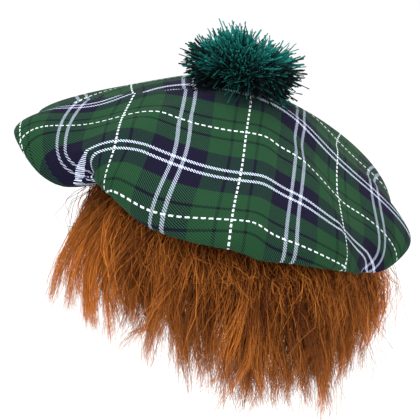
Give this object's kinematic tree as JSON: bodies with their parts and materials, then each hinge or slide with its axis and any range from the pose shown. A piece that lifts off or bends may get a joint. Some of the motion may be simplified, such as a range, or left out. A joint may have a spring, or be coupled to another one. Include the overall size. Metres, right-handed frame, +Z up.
{
  "type": "tam o shanter with hair fringe",
  "caption": "Slouching tartan cloth hat on a plain headband, with a yarn pompom on top and ginger fur hair hanging below.",
  "frame": {"origin": "centre of the head opening, level with the lower edge of the headband", "axes": "+Z up as the hat is worn, +X to the side that the hat slopes down to, +Y to the side left open for the face; the head opening's own axis leans 14 degrees from +Z towards +X"},
  "size_m": [0.301, 0.271, 0.2937],
  "materials": {
    "tartan": "brushed twill woven in a green, navy and white tartan",
    "band_cloth": "plain dark green cloth",
    "yarn": "cut acrylic yarn, dark teal green",
    "fur": "long ginger artificial fur"
  },
  "bodies": {
    "root": {"crown": "tartan", "headband": "band_cloth", "pompom": "yarn", "hair_fringe": "fur"}
  },
  "joints": []
}
